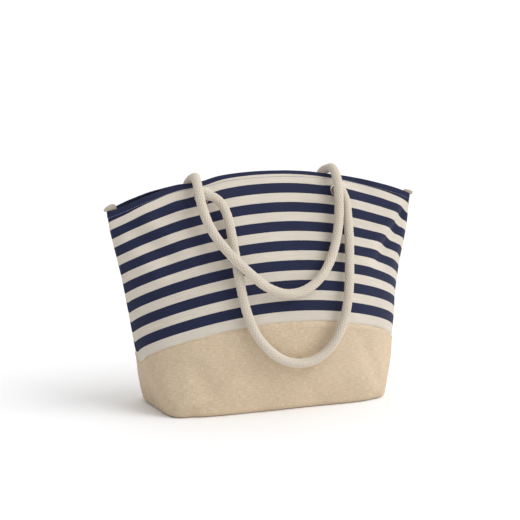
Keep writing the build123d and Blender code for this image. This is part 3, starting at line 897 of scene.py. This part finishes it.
def stitch_run(name, line, normals, pitch, long, thick):
    """A row of thread stitches that lie on a line and dip in at both ends."""
    places = running_length(line)
    starts = np.arange(pitch, places[-1] - pitch, pitch)
    sides, stations = 6, (0, 0.18, 0.5, 0.82, 1.0)
    heights, widths = (-0.9, 0.25, 0.65, 0.25, -0.9), (0.55, 0.95, 1.0, 0.95, 0.55)
    points, faces = [], []
    ring = grid_faces(len(stations), sides, around=True)
    for begin in starts:
        here = resample(line, np.array([begin + share * long for share in stations]))
        base = len(points)
        tangent = unit(here[-1] - here[0])
        up = normals[min(len(normals) - 1, int(np.searchsorted(places, begin)))]
        across = np.cross(tangent, up)
        for place, height, width in zip(here, heights, widths):
            for k in range(sides):
                angle = math.tau * k / sides
                points.append(place + up * thick * (height + 0.5 * width * math.sin(angle))
                              + across * thick * 0.5 * width * math.cos(angle))
        faces += [tuple(q + base) for q in ring]
    return mesh_object(name, points, faces)


for side in (FRONT, BACK):
    panel, grid, normals = canvas_panel(side)
    side_name = SIDE_NAMES[side]
    finish_piece(panel, "bag", CANVAS, [f"{side_name}_canvas_panel"])
    stitch_row = int(np.argmin(np.abs(ROWS_S - HEM_STITCH)))
    stitches = stitch_run(f"{side_name}_hem_stitches", grid[stitch_row], normals[stitch_row],
                          pitch=0.0031, long=0.0025, thick=0.0007)
    finish_piece(stitches, "bag", HEM_THREAD)

# ---------------------------------------------------------------- base
RIM_HEIGHT = 0.0003                         # of the base's outer face over the floor
BASE_ROWS = np.concatenate([np.linspace(0, 0.006, 7), np.linspace(0.009, 1.0, 64)])


def base_loop(share, fractions):
    """One loop round the base, front then back; share is 0 at the seam and 1 at the bottom fold."""
    seam = arch(SEAM_HEIGHT, SEAM_RADIUS)

    def height_of(along):
        return seam(along) * (1 - share) + BASE_FOLD * share

    front, length = cloth_row(height_of, FRONT, fractions)
    back, _ = cloth_row(height_of, BACK, fractions)
    return np.concatenate([front, back[-2:0:-1]]), length


def facing_out(points, faces, middle):
    """The faces, each turned to look away from the middle of the shape."""
    turned = []
    for face in faces:
        first, second, third = (points[k] for k in face[:3])
        outward = np.cross(second - first, third - second) @ (first - middle) > 0
        turned.append(face if outward else face[::-1])
    return turned


def base_panel():
    fractions = column_fractions(0.46, 0.0022)
    loops = [base_loop(share, fractions) for share in BASE_ROWS]
    grid = np.array([points for points, _ in loops])
    lengths = np.array([length for _, length in loops])
    columns = len(fractions)
    place = np.concatenate([fractions, 2 - fractions[-2:0:-1]])
    from_seam = np.abs(place - np.round(place))[None, :] * lengths[:, None]
    step_down = np.linalg.norm(np.diff(grid, axis=0), axis=-1).mean(axis=1)
    fallen = np.concatenate([[0], np.cumsum(step_down)])[:, None] + np.zeros_like(from_seam)
    along = (np.roll(grid, -1, axis=1) - np.roll(grid, 1, axis=1))
    normals = unit(np.cross(along, np.gradient(grid, axis=0)))
    middle_column = columns // 2
    if normals[0, middle_column, 1] > 0:
        normals = -normals
    sides = np.where(np.arange(grid.shape[1]) < columns, FRONT, BACK)
    lift = -0.0012 * bell(fallen, 0.0018) - 0.0012 * bell(from_seam, 0.0022)
    lift = lift + 0.0007 * bell(fallen - 0.0055, 0.0028)
    calm = smoothstep(0.0, 0.02, fallen)
    for side in (FRONT, BACK):
        here = (sides == side)[None, :]
        lift = lift + np.where(here, calm * fold_height(grid, BASE_FOLDS[side]), 0)
    lift = lift + calm * 0.0013 * soft_noise(grid, 0.06, 5) + 0.0003 * soft_noise(grid, 0.02, 8)
    grid = settle_right(grid + normals * lift[..., None])
    flat_out = unit(normals[-1] * np.array([1, 1, 0]))
    rows, row_v = list(grid), list(fallen[:, 0])
    for turn in np.linspace(0, math.pi / 2, 8)[1:]:
        inset, sink = BASE_FOLD * (1 - math.cos(turn)), BASE_FOLD * math.sin(turn)
        rows.append(grid[-1] - flat_out * inset - np.array([0, 0, 1]) * sink)
        row_v.append(fallen[-1, 0] + BASE_FOLD * turn)
    rim = rows[-1].copy()
    rim[:, 2] = RIM_HEIGHT
    rows[-1] = rim
    for shrink in np.linspace(1, 0.02, 16)[1:]:
        rows.append(rim * np.array([1 - (1 - shrink) * 0.55, shrink, 1]))
        row_v.append(row_v[-1] + 0.0055)
    surface = np.array(rows)
    surface[..., 2] = np.maximum(surface[..., 2], rim[0, 2])
    count = surface.shape[1]
    quads = [tuple(q) for q in grid_faces(len(rows), count, around=True)]
    last = (len(rows) - 1) * count
    half = columns - 1
    for k in range(half):
        here, there = k, (-k) % count
        nxt, back_nxt = k + 1, (-(k + 1)) % count
        corners = [last + here, last + nxt, last + back_nxt, last + there]
        unique = list(dict.fromkeys(corners))
        if len(unique) >= 3:
            quads.append(tuple(unique))
    points = surface.reshape(-1, 3)
    piece = mesh_object("base_cloth_shell", points, facing_out(points, quads, np.array([0, 0, 0.06])))
    girth = float(2 * lengths[0])
    u = place[None, :] * (girth / 2) + np.zeros((len(rows), 1))
    v = np.array(row_v)[:, None] + np.zeros((1, count))
    set_uv(piece, np.stack([u, v], axis=-1).reshape(-1, 2), around=girth)
    solidify(piece, BASE_THICKNESS)
    return piece


base = base_panel()
finish_piece(base, "bag", BASE_CLOTH, ["base_panel"])


# ---------------------------------------------------------------- eyelets and washers
def turned(name, profile, seat, outward, segments=96):
    """A closed profile of (radius, height) turned about an eyelet's axis."""
    angle = np.linspace(0, math.tau, segments, endpoint=False)
    helper = np.array([1.0, 0, 0])
    first = unit(np.cross(outward, helper))
    second = np.cross(outward, first)
    points = []
    for radius, height in profile:
        ring = first[None] * np.cos(angle)[:, None] + second[None] * np.sin(angle)[:, None]
        points.append(seat + outward * height + ring * radius)
    points.append(points[0])
    quads = grid_faces(len(points), segments, around=True) % (len(profile) * segments)
    return mesh_object(name, np.array(points[:-1]).reshape(-1, 3), quads)


WASHER_PROFILE = [
    (0.0089, -0.0027), (0.0092, -0.0025), (0.0111, -0.0025), (0.0115, -0.0028),
    (0.0115, -0.0032), (0.0112, -0.0035), (0.0092, -0.0035), (0.0089, -0.0033),
]
EYELET_PROFILE = [
    (BORE_R, -0.0044), (BORE_R, -0.0010), (BORE_R, 0.0007),
    *[(0.00975 + 0.00173 * math.cos(t), 0.0008 + 0.0011 * math.sin(t))
      for t in np.linspace(math.pi * 0.97, 0, 13)],
    (EYELET_R, 0.00055), (0.0112, 0.0004), (BORE_R + 0.0006, 0.0004), (BORE_R + 0.0006, -0.0038),
    (0.0096, -0.0038), (0.0101, -0.0041), (0.0101, -0.0044), (0.0096, -0.0047), (0.0085, -0.0047),
]
for position, (seat, outward) in EYELETS.items():
    ring = turned(f"{position}_metal_eyelet", EYELET_PROFILE, seat, outward)
    finish_piece(ring, "bag", EYELET_METAL, [f"{position}_eyelet"])
    ring = turned(f"{position}_metal_washer", WASHER_PROFILE, seat, outward)
    finish_piece(ring, "bag", EYELET_METAL, [f"{position}_washer"])


# ---------------------------------------------------------------- zip
def on_zip(angle, rise, y):
    """A point by its angle along the mouth's arc, its rise over the chain and its depth."""
    reach = ZIP_RADIUS + rise
    x, z = np.sin(angle) * reach, MOUTH_CENTRE_Z + np.cos(angle) * reach
    return np.stack(np.broadcast_arrays(x, y, z), axis=-1)


TAPE_END_X, CHAIN_END_X = 0.234, 0.2135
TAPE_HALF_ANGLE = math.asin(TAPE_END_X / ZIP_RADIUS)
CHAIN_HALF_ANGLE = math.asin(CHAIN_END_X / ZIP_RADIUS)
TAPE_THICKNESS = 0.0008
TOOTH_PITCH = 0.0024
TOOTH_HALF_LENGTH = 0.00056
TEETH_PARTED = 0.0018                       # beyond the closed slider

# Folded tips of the tape: (distance out, rise of the top, rise of the bottom) over the chain's arc.
TIP_SHAPES = {
    -1: [(0.2320, 0.0090, -0.0010), (0.2360, 0.0124, 0.0000), (0.2400, 0.0138, 0.0040),
         (0.2440, 0.0138, 0.0052), (0.2515, 0.0120, 0.0066)],
    1: [(0.2330, 0.0098, -0.0010), (0.2370, 0.0116, -0.0010), (0.2430, 0.0124, 0.0055),
        (0.2490, 0.0128, 0.0068)],
}


def zip_tape(side):
    """Tape from the chain out to the panel's hem, a little slack."""
    angle = np.linspace(-TAPE_HALF_ANGLE, TAPE_HALF_ANGLE, 240)
    share = np.linspace(0, 1, 9)
    chain = on_zip(angle, 0, 0)
    reach = depth_at(chain[:, 0], chain[:, 2]) - mouth_lean(chain[:, 0], 0.008) - 0.0026
    outer = np.maximum(reach, CHAIN_HALF + 0.0004)
    near = 0.0024
    y = near + (outer - near)[:, None] * share[None, :]
    free = np.clip((y - SLIDER_HALF_WIDTH) / np.maximum(outer[:, None] - SLIDER_HALF_WIDTH, 0.0004), 0, 1)
    sag = -0.0012 * np.sin(free * math.pi) * (1 + 0.5 * np.sin(angle * 60)[:, None])
    points = on_zip(angle[:, None], sag, side * y)
    rows, columns = y.shape
    quads = grid_faces(rows, columns)
    piece = mesh_object(f"zip_tape_cloth_{SIDE_NAMES[side]}", points.reshape(-1, 3), quads)
    u = (angle * ZIP_RADIUS)[:, None] + 0 * y
    set_uv(piece, np.stack([u, y], axis=-1).reshape(-1, 2))
    return solidify(piece, TAPE_THICKNESS, offset=0)


def zip_teeth(side):
    """Single teeth clamped on the tape's edge, parted beyond the slider."""
    step = TOOTH_PITCH / ZIP_RADIUS
    angles = np.arange(-CHAIN_HALF_ANGLE, CHAIN_HALF_ANGLE, step) + (step / 2 if side == BACK else step / 4)
    angles = angles[angles < CHAIN_HALF_ANGLE]
    points, faces = [], []
    shape = [(0.0030, 0.70, 0.0010), (0.0027, 1.0, 0.0012), (0.0013, 1.0, 0.0012),
             (0.0007, 0.75, 0.0010), (0.0001, 0.95, 0.0011), (-0.0006, 0.85, 0.0008), (-0.0009, 0.45, 0.0004)]
    corner_turns = [math.radians(a) for a in (22, 68, 112, 158, 202, 248, 292, 338)]
    ring = grid_faces(len(shape), len(corner_turns), around=True)
    for angle in angles:
        parted = TEETH_PARTED if math.sin(angle) * ZIP_RADIUS > SLIDER_LEFT else 0.0
        base = len(points)
        for depth, width, height in shape:
            depth = max(depth, parted * 0.55) if parted else depth
            for turn in corner_turns:
                along = TOOTH_HALF_LENGTH * width * math.cos(turn) * 1.08
                points.append(on_zip(angle + along / ZIP_RADIUS, height * math.sin(turn) * 1.08,
                                     side * depth))
        faces += [tuple(q + base) for q in ring]
        corners, last = len(corner_turns), base + len(shape) * len(corner_turns) - 1
        faces.append(tuple(base + k for k in range(corners)))
        faces.append(tuple(last - k for k in range(corners)))
    return mesh_object(f"zip_teeth_{SIDE_NAMES[side]}", points, faces, smooth=False)


for side in (FRONT, BACK):
    finish_piece(zip_tape(side), "bag", TAPE_CLOTH, [f"zip_tape_{SIDE_NAMES[side]}"])
    finish_piece(zip_teeth(side), "bag", TEETH_BRASS, [f"zip_coil_{SIDE_NAMES[side]}"])

for name, metal in (("zip_slider", SLIDER_METAL), ("zip_pull", SLIDER_METAL), ("zip_top_stops", TEETH_BRASS),
                    ("zip_bottom_stop", TEETH_BRASS)):
    part = NODES[name]
    if not part.material_slots:
        part.data.materials.append(None)
    for part_slot in part.material_slots:
        part_slot.link = "OBJECT"
        part_slot.material = metal
    weld = part.modifiers.new("weld", "WELD")
    weld.merge_threshold = 0.00001
    rounding = part.modifiers.new("rounding", "BEVEL")
    rounding.width, rounding.segments = 0.00028, 3


TIP_SQUARENESS = 0.6                        # below 1 gives the tip's section flatter sides


def end_tab(direction):
    """The tape's end, folded back on itself into a soft rounded tip at the mouth's corner."""
    stations = np.linspace(0, 1, 34)
    out, rise, foot = np.array(TIP_SHAPES[direction]).T
    x = out[0] + (out[-1] - out[0]) * stations
    arc = MOUTH_CENTRE_Z + np.sqrt(ZIP_RADIUS ** 2 - x ** 2)
    top, bottom = np.interp(x, out, rise), np.interp(x, out, foot)
    round_end = np.sqrt(np.clip(1 - ((stations - 0.80) / 0.2).clip(0) ** 2, 0.02, 1))
    round_start = np.sqrt(np.clip(1 - ((0.12 - stations) / 0.12).clip(0) ** 2, 0.02, 1))
    size = round_end * round_start
    middle, half = (top + bottom) / 2, (top - bottom) / 2 * size
    thick = 0.0013 * (0.55 + 0.45 * size)
    turns = np.linspace(0, math.tau, 20, endpoint=False)
    rising, sideways = (np.sign(wave) * np.abs(wave) ** TIP_SQUARENESS
                        for wave in (np.sin(turns), np.cos(turns)))
    z = (arc + middle)[:, None] + half[:, None] * rising[None, :]
    y = thick[:, None] * sideways[None, :]
    points = np.stack([direction * x[:, None] + 0 * y, y, z], axis=-1)
    rows, columns = y.shape
    quads = [tuple(q) for q in grid_faces(rows, columns, around=True)]
    quads += [tuple(range(columns))[::-1], tuple(range((rows - 1) * columns, rows * columns))]
    if direction < 0:
        quads = [q[::-1] for q in quads]
    hand = "left" if direction < 0 else "right"
    piece = mesh_object(f"zip_tape_tip_{hand}", points.reshape(-1, 3), quads)
    layer = piece.data.uv_layers.new(name="fabric")
    for loop in piece.data.loops:
        co = piece.data.vertices[loop.vertex_index].co
        layer.data[loop.index].uv = (co.x, co.z)
    return piece


for direction, hand in ((-1, "left"), (1, "right")):
    finish_piece(end_tab(direction), "bag", TAPE_CLOTH, [f"zip_end_tab_{hand}"])

# ---------------------------------------------------------------- floor and light
FLOOR_RADIUS, FLOOR_SIDES = 60, 96


def floor():
    angle = np.linspace(0, math.tau, FLOOR_SIDES, endpoint=False)
    points = [(0, 0, 0)] + [(FLOOR_RADIUS * math.cos(a), FLOOR_RADIUS * math.sin(a), 0) for a in angle]
    faces = [(0, 1 + k, 1 + (k + 1) % FLOOR_SIDES) for k in range(FLOOR_SIDES)]
    piece = mesh_object("floor", points, faces, smooth=False)
    shader = Shader("pale_floor", Roughness=0.9, Specular_IOR_Level=0.1)
    place = shader.add("ShaderNodeTexCoord", output=3)
    tone = shader.level(shader.cloud(place, (1.5, 1.5, 1.5)), 0.3, 0.7, 0.985, 1.0)
    piece.data.materials.append(shader.colour(shader.mix(1.0, (0.98, 0.98, 0.985, 1), tone, "MULTIPLY")))


SUN_ANGLE, SUN_POWER = math.radians(46), 1.35
DARK_SIDE = Vector((-0.92, -0.38, 0))       # the studio is dimmer on this side


def soft_sun(towards, angle, power):
    """A wide soft key light that comes from one direction."""
    light = bpy.data.lights.new("key", "SUN")
    light.angle = angle
    light.energy = power
    holder = bpy.data.objects.new("key", light)
    holder.rotation_mode = "QUATERNION"
    holder.rotation_quaternion = (-Vector(towards)).to_track_quat("-Z", "Y")
    bpy.context.scene.collection.objects.link(holder)


def studio_world():
    """White surroundings, dimmer to the left of the bag."""
    world = bpy.data.worlds.new("studio")
    world.use_nodes = True
    nodes, links = world.node_tree.nodes, world.node_tree.links
    place = nodes.new("ShaderNodeTexCoord")
    towards = nodes.new("ShaderNodeVectorMath")
    towards.operation = "DOT_PRODUCT"
    towards.inputs[1].default_value = DARK_SIDE
    links.new(place.outputs["Generated"], towards.inputs[0])
    level = nodes.new("ShaderNodeMapRange")
    for key, value in (("From Min", 0.0), ("From Max", 0.9), ("To Min", 1.0), ("To Max", 0.35)):
        level.inputs[key].default_value = value
    links.new(towards.outputs["Value"], level.inputs["Value"])
    links.new(level.outputs[0], nodes["Background"].inputs["Color"])
    nodes["Background"].inputs["Strength"].default_value = 0.95
    bpy.context.scene.world = world


floor()
soft_sun((1.3, -1.15, 1.85), SUN_ANGLE, SUN_POWER)
studio_world()
bpy.context.scene.view_settings.view_transform = "Standard"
